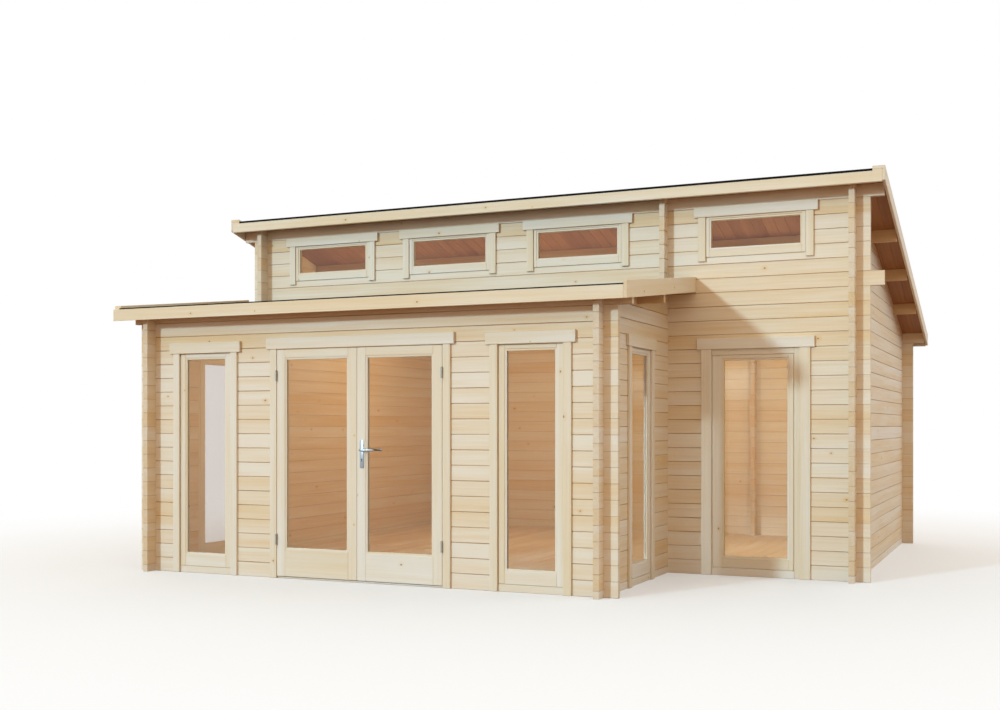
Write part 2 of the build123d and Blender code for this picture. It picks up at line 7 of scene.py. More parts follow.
import bmesh
import bpy
import numpy as np
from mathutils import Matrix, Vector


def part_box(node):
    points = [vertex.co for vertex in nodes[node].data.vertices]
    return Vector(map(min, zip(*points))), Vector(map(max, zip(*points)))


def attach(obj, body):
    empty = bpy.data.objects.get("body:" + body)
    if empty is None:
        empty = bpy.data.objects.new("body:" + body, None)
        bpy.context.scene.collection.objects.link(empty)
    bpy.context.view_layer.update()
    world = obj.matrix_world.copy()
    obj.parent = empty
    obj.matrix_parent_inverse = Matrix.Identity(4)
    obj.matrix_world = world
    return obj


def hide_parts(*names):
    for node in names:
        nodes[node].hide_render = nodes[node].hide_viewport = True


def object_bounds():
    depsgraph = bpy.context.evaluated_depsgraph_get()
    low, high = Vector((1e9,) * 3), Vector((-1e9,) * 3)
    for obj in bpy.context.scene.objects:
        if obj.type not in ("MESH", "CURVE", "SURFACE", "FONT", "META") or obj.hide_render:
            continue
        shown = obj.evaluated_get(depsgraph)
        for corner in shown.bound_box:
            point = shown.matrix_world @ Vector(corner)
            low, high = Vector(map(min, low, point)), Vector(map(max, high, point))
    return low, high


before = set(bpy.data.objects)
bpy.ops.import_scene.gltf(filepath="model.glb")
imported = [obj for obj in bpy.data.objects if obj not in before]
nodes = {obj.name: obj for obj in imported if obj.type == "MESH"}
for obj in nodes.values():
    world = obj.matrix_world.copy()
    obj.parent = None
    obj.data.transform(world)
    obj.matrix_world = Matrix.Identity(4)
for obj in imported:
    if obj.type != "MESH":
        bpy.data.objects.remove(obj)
cad_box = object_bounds()
rng = np.random.default_rng(7)

# Sizes shared with the solids
course = 0.114
log_thickness = 0.044
main_pitch, annex_pitch = radians(15), radians(7)
main_slope = -tan(main_pitch)
annex_slope = tan(annex_pitch)
roof_board_thickness = 0.018
roof_thickness = 0.026  # boards and felt
main_board_rise = roof_board_thickness / cos(main_pitch)
annex_board_rise = roof_board_thickness / cos(annex_pitch)
main_roof_rise = roof_thickness / cos(main_pitch)
annex_roof_rise = roof_thickness / cos(annex_pitch)
felt_lip = 0.012
fascia_thickness = 0.020
fascia_height = 0.095
main_barge_height = 0.095
cap_width = 0.093
cap_thickness = 0.018
annex_barge_height = 0.124
annex_barge_upstand = 0.020
annex_left_barge = 0.065
annex_right_barge = 0.028
main_purlin_height = 0.095
annex_purlin_height = 0.140
trim_width = 0.062
trim_thickness = 0.018
header_height = 0.089
header_overhang = 0.034
header_thickness = 0.024
trim_lap = 0.030
pane_inside, pane_outside = -0.024, -0.018

# Joinery, boards and felt that the solids leave plain
arris = 0.0025  # cut along the edges of boards
fine_arris = 0.0012  # and along those of beads and stops
bead_width = 0.011
bead_lap = 0.003  # a bead laps over its pane
bead_setback = 0.005
roof_board_cover = 0.096
floor_board_cover = 0.121
board_gap = 0.0006
felt_row = 0.92  # felt shows this much of each roll's width
felt_step = 0.0025
felt_seam = 0.030  # black bitumen shows this far from a lap
felt_turn = 0.002  # the felt's lip stands this far in front of the roof's edge
rebate_depth = -0.010  # the frame closes the gap round a sash this far back
tongue_width = 0.005
tongue_depth = 0.010

# Double door and its fittings
door_head_top = 1.850
sill_height = 0.012
stop_width = 0.012
stop_setback = 0.035
lining_width = 0.0035  # narrows the joint round the leaves
lining_face = 0.010
lining_arris = 0.0008
knuckle_height = 0.04185
knuckle_parting = 0.0003
knuckle_rim = 0.0012
finial = ((0.0015, 0.0), (0.004, 0.0), (0.0035, 0.0012), (0.0015, 0.002))
pin_radius = 0.003
pin_shift = 0.0048
pin_spread = 0.011
handle_plate_width = 0.034
handle_plate_thickness = 0.006
handle_plate_corner, handle_plate_edge = 0.009, 0.002
handle_plate_drop = 0.032
rose_width, rose_thickness = 0.026, 0.004
rose_corner, rose_edge = 0.0129, 0.0015
lever_reach = 0.048
lever_bend = 0.020
lever_length = 0.130
lever_return = 0.010
lever_shares = (0, 0.3, 0.55, 0.96, 1)
lever_half_out = (0.0085, 0.008, 0.0055, 0.0048, 0.002)
lever_half_up = (0.0085, 0.0085, 0.009, 0.0085, 0.004)
keyhole_drop = 0.072
keyhole_round = 0.011
keyhole_slot_drop, keyhole_slot_width, keyhole_slot_height = 0.009, 0.006, 0.018
keyhole_thickness, keyhole_edge = 0.0003, 0.0001
keyhole_rounding = 0.49  # share of its width: nearly a full round end

# The photograph's camera
picture_width = 1000
focal_pixels = 1204.6
sensor_width = 36.0
horizon_shift = 0.0709
camera_place = (4.0273, -10.4797, 1.2031)
camera_turn = 24.127

# Light: a low sun from the front left, a soft fill from the right and behind, an even sky,
# and soft lamps in the rooms
sun_direction = (0.498, 1.0, -0.31)
sun_strength = 1.46
sun_softness = 4.0
sun_colour = (0.66, 1.0, 1.22)
fill_direction = (-1.0, -0.45, -0.22)
fill_strength = 0.55
fill_softness = 50.0
fill_colour = (0.50, 1.0, 1.42)
sky_strength = 1.02
sky_colour = (1.0, 0.87, 0.72)
floor_fade = (3.0, 9.0)
floor_lift = 0.22
annex_lamp_colour = (1.0, 0.74, 0.36)
bay_lamp_colour = (1.0, 0.98, 0.76)
room_lamp_radius = 0.3
room_lamps = [
    ((-1.6, -1.5, 1.5), 8.5, annex_lamp_colour),
    ((-0.3, -1.5, 1.5), 8.5, annex_lamp_colour),
    ((-1.5, 0.7, 1.9), 20.0, annex_lamp_colour),
    ((0.4, 0.7, 1.9), 22.0, annex_lamp_colour),
    ((1.95, 0.7, 1.7), 36.0, bay_lamp_colour),
    ((-1.7, -0.1, 2.3), 4.0, bay_lamp_colour),
    ((0.1, -0.1, 2.3), 4.0, bay_lamp_colour),
]


def srgb(red, green, blue):
    """Linear colour, with alpha, of a colour given in display steps from 0 to 255."""
    steps = np.array([red, green, blue]) / 255
    linear = np.where(steps <= 0.04045, steps / 12.92, ((steps + 0.055) / 1.055) ** 2.4)
    return (*linear.tolist(), 1.0)


# Finishes
pale_spruce = srgb(232, 220, 200)
honey_spruce = srgb(224, 194, 146)
joinery_pale = srgb(233, 225, 210)
joinery_honey = srgb(227, 207, 170)
edge_pale = srgb(233, 223, 204)
edge_honey = srgb(227, 204, 164)
purlin_pale = srgb(218, 184, 138)
purlin_honey = srgb(200, 156, 104)
# Roof boards are seen only from below: their own warmer brown, darkened further as painted shade of the
# soffit
roof_pale_and_painted_shade = srgb(176, 122, 72)
roof_honey_and_painted_shade = srgb(146, 90, 46)
late_wood = srgb(190, 148, 98)
knot_heart = srgb(146, 96, 54)
joint_shade = srgb(172, 120, 72)
felt_black = srgb(16, 15, 15)
felt_grit = srgb(72, 71, 71)
steel_light = srgb(168, 168, 170)
steel_dark = srgb(132, 133, 136)
hinge_light = srgb(176, 170, 160)
hinge_dark = srgb(140, 132, 122)
# Near black of a keyhole: painted shade of the opening behind it
keyhole_painted_shade = srgb(24, 22, 21)
floor_white = srgb(238, 242, 247)
floor_bounce = srgb(132, 86, 52)
glass_tint = srgb(234, 231, 229)


class Graph:
    """A node tree, with calls that add nodes, feed their sockets and give back their outputs."""

    def __init__(self, tree):
        self.tree = tree

    def add(self, kind, *inputs, out=0, **settings):
        made = self.tree.nodes.new("ShaderNode" + kind)
        for key, value in settings.items():
            setattr(made, key, value)
        for socket, value in zip(made.inputs, inputs):
            self.feed(socket, value)
        return made.outputs[out]

    def feed(self, socket, value):
        if isinstance(value, bpy.types.NodeSocket):
            self.tree.links.new(value, socket)
        elif value is not None:
            socket.default_value = value

    def math(self, operation, *inputs):
        return self.add("Math", *inputs, operation=operation)

    def blend(self, share, first, second):
        made = self.tree.nodes.new("ShaderNodeMix")
        made.data_type = "RGBA"
        for socket, value in ((made.inputs[0], share), (made.inputs[6], first), (made.inputs[7], second)):
            self.feed(socket, value)
        return made.outputs[2]

    def ramp(self, value, low, high, to_low=0.0, to_high=1.0):
        """Smooth step of a value from one range to another."""
        return self.add("MapRange", value, low, high, to_low, to_high, interpolation_type="SMOOTHSTEP")

    def noise(self, place, detail=2.0, roughness=0.5, scale=1.0):
        made = self.tree.nodes.new("ShaderNodeTexNoise")
        values = {"Vector": place, "Scale": scale, "Detail": detail, "Roughness": roughness}
        for name, value in values.items():
            self.feed(made.inputs[name], value)
        return made.outputs[0]

    def attribute(self, name, out):
        return self.add("Attribute", attribute_name=name, out=out)

    def seen(self):
        """1 on rays that show a surface directly, mirrored or through glass, and all ray kinds."""
        rays = self.add("LightPath").node.outputs
        return self.math("MAXIMUM", self.math("MAXIMUM", rays[0], rays[3]), rays[6]), rays


def new_group(name, inputs, outputs):
    """Empty node group with named float, vector or colour sockets."""
    tree = bpy.data.node_groups.new(name, "ShaderNodeTree")
    for names, way in ((inputs, "INPUT"), (outputs, "OUTPUT")):
        for socket, kind in names.items():
            tree.interface.new_socket(name=socket, in_out=way, socket_type="NodeSocket" + kind)
    entry = tree.nodes.new("NodeGroupInput")
    exit_node = tree.nodes.new("NodeGroupOutput")
    return Graph(tree), entry.outputs, exit_node.inputs


def use_group(graph, group, values):
    """Place a group in a material, its inputs fed by name, and give back its outputs."""
    made = graph.tree.nodes.new("ShaderNodeGroup")
    made.node_tree = group
    for name, value in values.items():
        graph.feed(made.inputs[name], value)
    return made.outputs


def spruce_group():
    """Planed spruce: streaks and growth rings along the grain, round knots, end grain.

    Along, Across and Depth are metres in the board. Seed, from 0 to 1, sets the board's tone and
    shifts its pattern. End is 1 on sawn ends.
    """
    graph, given, result = new_group(
        "spruce",
        {"Along": "Float", "Across": "Float", "Depth": "Float", "Seed": "Float", "End": "Float",
         "Pale": "Color", "Honey": "Color"},
        {"Color": "Color", "Roughness": "Float", "Height": "Float"},
    )
    far = graph.math("MULTIPLY", given["Seed"], 61.0)
    along = graph.math("ADD", given["Along"], far)

    def stretched(a, b, c):
        x = graph.math("MULTIPLY", along, a)
        y = graph.math("MULTIPLY_ADD", given["Across"], b, far)
        z = graph.math("MULTIPLY", given["Depth"], c)
        return graph.add("CombineXYZ", x, y, z)

    blotch = graph.noise(stretched(0.7, 7.0, 7.0), 2.0)
    streak = graph.noise(stretched(1.3, 48.0, 48.0), 4.0, 0.62)
    fibre = graph.noise(stretched(14.0, 900.0, 900.0), 2.0)

    # Growth rings: distance from a pith below the face, bent slowly along the board
    bend = graph.noise(stretched(0.9, 3.0, 3.0), 1.0)
    across = graph.math("MULTIPLY_ADD", bend, 0.09, given["Across"])
    deep = graph.math("ADD", given["Depth"], 0.055)
    square = graph.math("ADD", graph.math("MULTIPLY", across, across), graph.math("MULTIPLY", deep, deep))
    ring = graph.math("FRACT", graph.math("MULTIPLY", graph.math("SQRT", square), 210.0))
    late = graph.math("POWER", ring, 5.0)

    # Knots: one place in each cell along the board, at a random height, in some of the cells
    cells = graph.tree.nodes.new("ShaderNodeTexVoronoi")
    cells.voronoi_dimensions = "1D"
    graph.feed(cells.inputs["W"], along)
    graph.feed(cells.inputs["Scale"], 1.5)
    chance = graph.add("SeparateColor", cells.outputs["Color"]).node.outputs
    from_middle = graph.math("SUBTRACT", along, cells.outputs["W"])
    height = graph.math("MULTIPLY", graph.math("SUBTRACT", chance[0], 0.5), 0.075)
    from_height = graph.math("SUBTRACT", given["Across"], height)
    reach = graph.math(
        "SQRT",
        graph.math(
            "ADD",
            graph.math("MULTIPLY", graph.math("MULTIPLY", from_middle, from_middle), 0.55),
            graph.math("MULTIPLY", from_height, from_height),
        ),
    )
    size = graph.math("MULTIPLY_ADD", chance[1], 0.0055, 0.0022)
    present = graph.math("GREATER_THAN", chance[2], 0.70)
    steps = graph.math("DIVIDE", reach, size)
    core = graph.math("MULTIPLY", graph.ramp(steps, 1.15, 0.75), present)
    halo = graph.math("MULTIPLY", graph.ramp(steps, 5.0, 0.8), present)

    tone = graph.math("MULTIPLY_ADD", graph.math("SUBTRACT", given["Seed"], 0.5), 0.6, 0.42)
    tone = graph.math("MULTIPLY_ADD", graph.math("SUBTRACT", blotch, 0.5), 1.5, tone)
    tone = graph.math("MULTIPLY_ADD", graph.math("SUBTRACT", streak, 0.5), 1.2, tone)
    tone = graph.math("MULTIPLY_ADD", halo, 0.5, tone)
    wood = graph.blend(graph.add("Clamp", tone), given["Pale"], given["Honey"])
    wood = graph.blend(graph.math("MULTIPLY", late, 0.11), wood, late_wood)
    wood = graph.blend(graph.math("MULTIPLY", core, 0.75), wood, knot_heart)
    sawn = graph.blend(graph.math("MULTIPLY_ADD", ring, 0.22, 0.06), wood, late_wood)
    graph.feed(result["Color"], graph.blend(given["End"], wood, sawn))
    graph.feed(result["Roughness"], graph.math("MULTIPLY_ADD", streak, 0.14, 0.54))
    graph.feed(result["Height"], graph.math("MULTIPLY_ADD", fibre, 0.4, late))
    return graph.tree


def course_group():
    """Courses of a log wall: height in the log, a random number of the log, and its joints.

    Level is the height of a point, Shift the height of the first joint. The course is the
    whole part of (Level - Shift) / course, and Across runs from the middle of that log.
    """
    graph, given, result = new_group(
        "log courses",
        {"Level": "Float", "Shift": "Float", "Wall": "Float", "Along": "Float"},
        {"Across": "Float", "Seed": "Float", "Joint": "Float"},
    )
    courses = graph.math("DIVIDE", graph.math("SUBTRACT", given["Level"], given["Shift"]), course)
    number = graph.math("FLOOR", courses)
    part = graph.math("SUBTRACT", courses, number)
    graph.feed(result["Across"], graph.math("MULTIPLY", graph.math("SUBTRACT", part, 0.5), course))
    dice = graph.add("TexWhiteNoise", graph.add("CombineXYZ", number, given["Wall"], 0.5))
    graph.feed(result["Seed"], dice)

    # A joint is tight here and open there, as the strength of its shade tells
    nearest = graph.math("ROUND", courses)
    place = graph.add("CombineXYZ", graph.math("MULTIPLY", given["Along"], 0.8), nearest, given["Wall"])
    strength = graph.ramp(graph.noise(place, 1.0), 0.3, 0.7, 0.35, 1.0)
    edge = graph.math("MINIMUM", part, graph.math("SUBTRACT", 1.0, part))
    graph.feed(result["Joint"], graph.math("MULTIPLY", graph.ramp(edge, 0.024, 0.008), strength))
    return graph.tree


spruce = spruce_group()
log_courses = course_group()


def new_material(name):
    """Material with one Principled shader: its graph and the shader's sockets."""
    material = bpy.data.materials.new(name)
    material.use_nodes = True
    shader = material.node_tree.nodes["Principled BSDF"]
    return material, Graph(material.node_tree), shader.inputs


def relief(graph, height, distance):
    """Normal of a small relief, its height in metres times the distance."""
    made = graph.tree.nodes.new("ShaderNodeBump")
    for name, value in (("Strength", 1.0), ("Distance", distance), ("Height", height)):
        graph.feed(made.inputs[name], value)
    return made.outputs[0]


def log_material(name, run, first_joint, wall):
    """Spruce logs that run along X or Y, courses apart, with brown joints between them."""
    material, graph, shader = new_material(name)
    place = graph.add("SeparateXYZ", graph.add("TexCoord", out=3)).node.outputs
    facing = graph.add("SeparateXYZ", graph.add("TexCoord", out=1)).node.outputs
    log = use_group(
        graph, log_courses,
        {"Level": place[2], "Shift": first_joint, "Wall": wall, "Along": place[run]},
    )
    end = graph.math("GREATER_THAN", graph.math("ABSOLUTE", facing[run]), 0.7)
    wood = use_group(
        graph, spruce,
        {"Along": place[run], "Across": log["Across"], "Depth": place[1 - run], "Seed": log["Seed"],
         "End": end, "Pale": pale_spruce, "Honey": honey_spruce},
    )
    colour = graph.blend(graph.math("MULTIPLY", log["Joint"], 0.75), wood["Color"], joint_shade)
    graph.feed(shader["Base Color"], colour)
    graph.feed(shader["Roughness"], wood["Roughness"])
    groove = graph.math("MULTIPLY_ADD", log["Joint"], -4.0, wood["Height"])
    graph.feed(shader["Normal"], relief(graph, groove, 0.0006))
    return material


def board_material(name, pale, honey):
    """Spruce boards that carry their own grain, tone and sawn ends as attributes."""
    material, graph, shader = new_material(name)
    grain = graph.add("SeparateXYZ", graph.attribute("grain", 1)).node.outputs
    wood = use_group(
        graph, spruce,
        {"Along": grain[0], "Across": grain[1], "Depth": grain[2], "Seed": graph.attribute("tone", 2),
         "End": graph.attribute("sawn_end", 2), "Pale": pale, "Honey": honey},
    )
    for socket, value in (("Base Color", "Color"), ("Roughness", "Roughness")):
        graph.feed(shader[socket], wood[value])
    graph.feed(shader["Normal"], relief(graph, wood["Height"], 0.0004))
    return material


def felt_material():
    """Bitumen felt with a mineral grit, which stops at the black seams of its laps."""
    material, graph, shader = new_material("roofing felt")
    place = graph.add("TexCoord", out=3)
    grit = graph.noise(place, 3.0, 0.7, 900.0)
    cloud = graph.noise(place, 3.0, 0.6, 2.2)
    share = graph.math("MULTIPLY_ADD", graph.ramp(cloud, 0.2, 0.8), 0.16, graph.ramp(grit, 0.42, 0.72))
    bare = graph.math("SUBTRACT", 1.0, graph.ramp(graph.attribute("lap", 2), 0.02, 0.35))
    colour = graph.blend(graph.add("Clamp", graph.math("MULTIPLY", share, bare)), felt_black, felt_grit)
    graph.feed(shader["Base Color"], colour)
    graph.feed(shader["Roughness"], graph.ramp(grit, 0.2, 0.8, 0.78, 0.95))
    graph.feed(shader["Specular IOR Level"], 0.15)
    graph.feed(shader["Normal"], relief(graph, grit, 0.0012))
    return material


def steel_material(name, light, dark, rough, smooth):
    """Brushed steel: fine lines that stretch along X, between two tones and two roughnesses."""
    material, graph, shader = new_material(name)
    place = graph.add("Mapping", graph.add("TexCoord", out=3), None, None, (60.0, 2500.0, 2500.0))
    brush = graph.noise(place, 2.0)
    graph.feed(shader["Base Color"], graph.blend(brush, light, dark))
    graph.feed(shader["Roughness"], graph.ramp(brush, 0.2, 0.8, smooth, rough))
    graph.feed(shader["Metallic"], 1.0)
    return material


def keyhole_material():
    """Painted shade of the opening into the lock: near black, with a little dust."""
    material, graph, shader = new_material("keyhole")
    dust = graph.noise(graph.add("TexCoord", out=3), 2.0, 0.5, 400.0)
    graph.feed(shader["Base Color"], graph.blend(graph.ramp(dust, 0.6, 0.9), keyhole_painted_shade, hinge_dark))
    graph.feed(shader["Roughness"], graph.ramp(dust, 0.2, 0.8, 0.5, 0.8))
    return material


def glass_material():
    """Clear window glass, which lets the lamps through."""
    material, graph, shader = new_material("window glass")
    smear = graph.noise(graph.add("TexCoord", out=3), 2.0, 0.5, 3.0)
    graph.feed(shader["Base Color"], glass_tint)
    graph.feed(shader["Roughness"], graph.ramp(smear, 0.3, 0.7, 0.0, 0.015))
    graph.feed(shader["Transmission Weight"], 1.0)
    graph.feed(shader["IOR"], 1.45)
    output = graph.tree.nodes["Material Output"]
    principled = graph.tree.nodes["Principled BSDF"].outputs[0]
    lamp_ray = graph.add("LightPath", out=1)
    clear = graph.add("BsdfTransparent", glass_tint)
    graph.feed(output.inputs["Surface"], graph.add("MixShader", lamp_ray, principled, clear))
    return material


logs_along_front = log_material("logs along the front", 0, 0.0, 1.0)
logs_along_side = log_material("logs along the sides", 1, course / 2, 2.0)
joinery = board_material("joinery spruce", joinery_pale, joinery_honey)
edge_boards = board_material("edge board spruce", edge_pale, edge_honey)
# The roof boards' darker tones are partly their own finish and partly painted shade of the soffit
roof_timber = board_material("roof spruce", roof_pale_and_painted_shade, roof_honey_and_painted_shade)
purlin_timber = board_material("purlin spruce", purlin_pale, purlin_honey)
floor_boards = board_material("floor spruce", pale_spruce, honey_spruce)
felt = felt_material()
handle_steel = steel_material("brushed steel", steel_light, steel_dark, 0.42, 0.28)
hinge_steel = steel_material("hinge steel", hinge_light, hinge_dark, 0.5, 0.35)
keyhole = keyhole_material()
glass = glass_material()

# Solids that keep their shape and get a finish
finishes = (
    (logs_along_front, (
        "annex_front_wall_left", "annex_front_wall_right", "annex_front_wall_over_door", "back_wall",
        "clerestory_wall", "main_front_wall_left_end", "main_front_wall_right_bay",
    )),
    (logs_along_side, (
        "annex_side_wall", "cross_beam_wall", "cross_wall_back_end", "left_wall", "right_wall",
    )),
    (glass, ("tall_window_panes", "clerestory_panes", "door_pane_left", "door_pane_right")),
)
for material, names in finishes:
    for name in names:
        nodes[name].data.materials.clear()
        nodes[name].data.materials.append(material)


def mesh_object(name, points, faces, materials):
    """Object at the origin with its place in its mesh."""
    mesh = bpy.data.meshes.new(name)
    mesh.from_pydata(np.asarray(points).reshape(-1, 3).tolist(), [], faces)
    for material in materials:
        mesh.materials.append(material)
    made = bpy.data.objects.new(name, mesh)
    bpy.context.scene.collection.objects.link(made)
    return made


def add_values(mesh, name, kind, domain, values):
    """Put one value per point or face into a mesh attribute."""
    field = "vector" if kind == "FLOAT_VECTOR" else "value"
    mesh.attributes.new(name, kind, domain).data.foreach_set(field, np.ravel(values).astype(np.float32))


# Section of a board: eight corners as the signs of its half sizes and of its cut edges
corner_sign = np.array([(1, 1), (1, 1), (-1, 1), (-1, 1), (-1, -1), (-1, -1), (1, -1), (1, -1)])
corner_cut = np.array([(0, 1), (1, 0), (1, 0), (0, 1), (0, 1), (1, 0), (1, 0), (0, 1)])
stations = 4


def board_faces():
    """Faces of one board: quads between its stations, then its two ends."""
    station, side = np.meshgrid(np.arange(stations - 1), np.arange(8), indexing="ij")
    after = (side + 1) % 8
    quads = np.stack(
        [station * 8 + side, station * 8 + after, (station + 1) * 8 + after, (station + 1) * 8 + side], -1,
    ).reshape(-1, 4)
    ends = np.array([np.arange(7, -1, -1), (stations - 1) * 8 + np.arange(8)])
    sawn = np.repeat([1.0, 0.0, 1.0], 8)
    return quads, ends, sawn


class Boards:
    """Sawn boards of one piece, in a local frame of three axes that may lean with a roof.

    A board is a box between two corners whose grain runs along axis 0, 1 or 2. A corner of its
    section is sign * (half - inset) - sign * cut * edge, and the section is carried along the
    grain through four stations, inset by the edge at the two ends.
    """

    def __init__(self, origin=(0, 0, 0), axes=((1, 0, 0), (0, 1, 0), (0, 0, 1))):
        self.origin = np.array(origin, float)
        self.axes = np.array(axes, float)
        self.rows = []

    def add(self, low, high, run, edge=arris, top_slope=0.0):
        """A board whose top may slope along the second axis."""
        self.rows.append((*low, *high, run, edge, top_slope))

    def ring(self, outer, inner, low, high, edge=arris):
        """Two stiles and two rails between an outer and an inner rectangle, from low to high depth."""
        (left, bottom, right, top), (in_left, in_bottom, in_right, in_top) = outer, inner
        self.add((left, bottom, low), (in_left, top, high), 1, edge)
        self.add((in_right, bottom, low), (right, top, high), 1, edge)
        if in_bottom > bottom:
            self.add((in_left, bottom, low), (in_right, in_bottom, high), 0, edge)
        if top > in_top:
            self.add((in_left, in_top, low), (in_right, top, high), 0, edge)

    def arrays(self):
        """Points, grain vectors and tones of all boards."""
        table = np.array(self.rows)
        count = len(table)
        low, high, run, edge, slope = table[:, :3], table[:, 3:6], table[:, 6], table[:, 7], table[:, 8]
        order = (run[:, None].astype(int) + np.arange(3)) % 3
        middle = (low + high) / 2
        half = np.take_along_axis((high - low) / 2, order, 1)
        ends = half[:, :1] * np.array([-1, -1, 1, 1]) + edge[:, None] * np.array([0, 1, -1, 0])
        inset = edge[:, None] * np.array([1, 0, 0, 1])
        size = half[:, None, None, 1:] - inset[:, :, None, None] - corner_cut * edge[:, None, None, None]
        section = corner_sign * size
        length = np.broadcast_to(ends[:, :, None, None], (count, stations, 8, 1))
        turned = np.concatenate([length, section], 3)
        points = np.zeros_like(turned)
        np.put_along_axis(points, np.broadcast_to(order[:, None, None, :], turned.shape), turned, 3)
        above = points[..., 2] > 0
        points[..., 2] += above * slope[:, None, None] * points[..., 1]
        points += middle[:, None, None, :]

        # The wider side of the section lies across the grain
        wide = (half[:, 1] >= half[:, 2])[:, None, None, None]
        section = np.where(wide, section, section[..., ::-1])
        shift = rng.uniform((0, 0, -0.02), (40, 0, 0.02), (count, 3))
        grain = np.concatenate([length, section], 3) + shift[:, None, None, :]
        tones = np.repeat(rng.uniform(0, 1, count), stations * 8)
        return self.origin + points.reshape(-1, 3) @ self.axes, grain.reshape(-1, 3), tones

    def make(self, name, material, body, slot, *replaced):
        """The boards as one piece that stands for solids of the frame."""
        points, grain, tones = self.arrays()
        quads, ends, sawn = board_faces()
        count = len(self.rows)
        step = (np.arange(count) * stations * 8)[:, None, None]
        faces = (quads + step).reshape(-1, 4).tolist() + (ends + step).reshape(-1, 8).tolist()
        made = mesh_object(name, points, faces, [material])
        add_values(made.data, "grain", "FLOAT_VECTOR", "POINT", grain)
        add_values(made.data, "tone", "FLOAT", "POINT", tones)
        sawn_faces = np.append(np.tile(sawn, count), np.ones(2 * count))
        add_values(made.data, "sawn_end", "FLOAT", "FACE", sawn_faces)
        return place_piece(made, body, slot, *replaced)


def place_piece(made, body, slot, *replaced):
    """Put a piece on its body in place of solids of the frame. The slot is not used."""
    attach(made, body)
    if replaced:
        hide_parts(*replaced)
    return made


# Windows
wall_axes = {
    "front": ((1, 0, 0), (0, 0, 1), (0, -1, 0)),
    "right": ((0, 1, 0), (0, 0, 1), (1, 0, 0)),
    "left": ((0, -1, 0), (0, 0, 1), (-1, 0, 0)),
}


def rectangle_out(rectangle, by):
    """A rectangle (left, bottom, right, top) made larger on each side."""
    left, bottom, right, top = rectangle
    return left - by, bottom - by, right + by, top + by


def add_trims(boards, half, width, bottom, header):
    """Upright trims on the logs and the header over them, which overhangs both."""
    for left in (-half, half - width):
        boards.add((left, bottom, 0), (left + width, header[0], trim_thickness), 1)
    reach = half + header_overhang
    boards.add((-reach, header[0], 0), (reach, header[1], header_thickness), 0)


def add_sash(boards, sash, pane, low, high, pane_low, pane_high):
    """Stiles and rails round a pane, with beads that lap over it outside and inside."""
    bead, lap = rectangle_out(pane, bead_width), rectangle_out(pane, -bead_lap)
    boards.ring(sash, bead, low, high)
    boards.ring(bead, lap, pane_high, high - bead_setback, fine_arris)
    boards.ring(bead, lap, low + bead_setback, pane_low, fine_arris)


def make_window(node, facing, kind):
    """A fixed window in a wall: frame in the logs, sash, beads, trims and header."""
    low, high = (np.array(corner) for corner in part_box(node))
    along, up, out = (np.array(axis, float) for axis in wall_axes[facing])
    face = max(low @ out, high @ out) - header_thickness
    boards = Boards(along * ((low + high) / 2 @ along) + out * face, (along, up, out))
    half = abs((high - low) @ along) / 2 - header_overhang
    sash = kind["sash"]
    boards.ring(kind["opening"], kind["frame_inside"], -log_thickness, 0)
    boards.ring(kind["frame_inside"], sash, -log_thickness, rebate_depth, 0)
    add_sash(boards, sash, kind["pane"], -log_thickness, kind["sash_face"], pane_inside, pane_outside)
    add_trims(boards, half, kind["trim"], kind["trim_bottom"], kind["header"])
    return boards.make(node.replace("window", "window_joinery"), joinery, "house", "joinery", node)


tall_window = {
    "opening": (-0.288, 0.0, 0.288, 1.824),
    "frame_inside": (-0.257, 0.053, 0.257, 1.793),
    "sash": (-0.254, 0.056, 0.254, 1.790),
    "pane": (-0.191, 0.163, 0.191, 1.750),
    "trim": trim_width,
    "trim_bottom": 0.0,
    "header": (1.796, 1.885),
    "sash_face": 0.0,
}
bay_window = {
    **tall_window,
    "opening": (-0.404, 0.0, 0.404, 1.850),
    "frame_inside": (-0.3515, 0.059, 0.3075, 1.774),
    "sash": (-0.3455, 0.065, 0.3015, 1.768),
    "pane": (-0.256, 0.155, 0.256, 1.732),
    "trim": 0.082,
    "header": (1.821, 1.910),
}
clerestory_window = {
    "opening": (-0.430, 2.565, 0.430, 2.920),
    "frame_inside": (-0.399, 2.565, 0.399, 2.893),
    "sash": (-0.396, 2.567, 0.396, 2.890),
    "pane": (-0.3585, 2.638, 0.3585, 2.864),
    "trim": trim_width,
    "trim_bottom": 2.533,
    "header": (2.890, 2.970),
    "sash_face": 0.008,
}
make_window("front_left_window", "front", tall_window)
make_window("front_right_window", "front", tall_window)
make_window("annex_side_window", "right", tall_window)
make_window("left_side_window", "left", tall_window)
make_window("right_bay_window", "front", bay_window)
for number in range(1, 5):
    make_window(f"clerestory_window_{number}", "front", clerestory_window)

# Double door
frame_low, frame_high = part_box("door_frame")
door_origin = ((frame_low.x + frame_high.x) / 2, frame_low.y + header_thickness, 0)
door_half = (frame_high.x - frame_low.x) / 2 - header_overhang
door_header = (frame_high.z - header_height, frame_high.z)
clear = (trim_width - door_half, sill_height, door_half - trim_width, door_header[0])
frame_outside = (trim_lap - door_half, 0.0, door_half - trim_lap, door_head_top)


def make_door_frame():
    """Jambs, head, low sill, stops behind the leaves, and trims on the logs."""
    boards = Boards(door_origin, wall_axes["front"])
    boards.ring(frame_outside, clear, -log_thickness, 0)
    lining = (clear[0] + lining_width, clear[1], clear[2] - lining_width, clear[3] - lining_width)
    boards.ring(clear, lining, -log_thickness, lining_face, lining_arris)
    stop_inside = (clear[0] + stop_width, clear[1], clear[2] - stop_width, clear[3] - stop_width)
    boards.ring(clear, stop_inside, -log_thickness, -stop_setback, fine_arris)
    add_trims(boards, door_half, trim_width, 0.0, door_header)
    boards.make("door_frame_joinery", joinery, "house", "joinery", "door_frame")


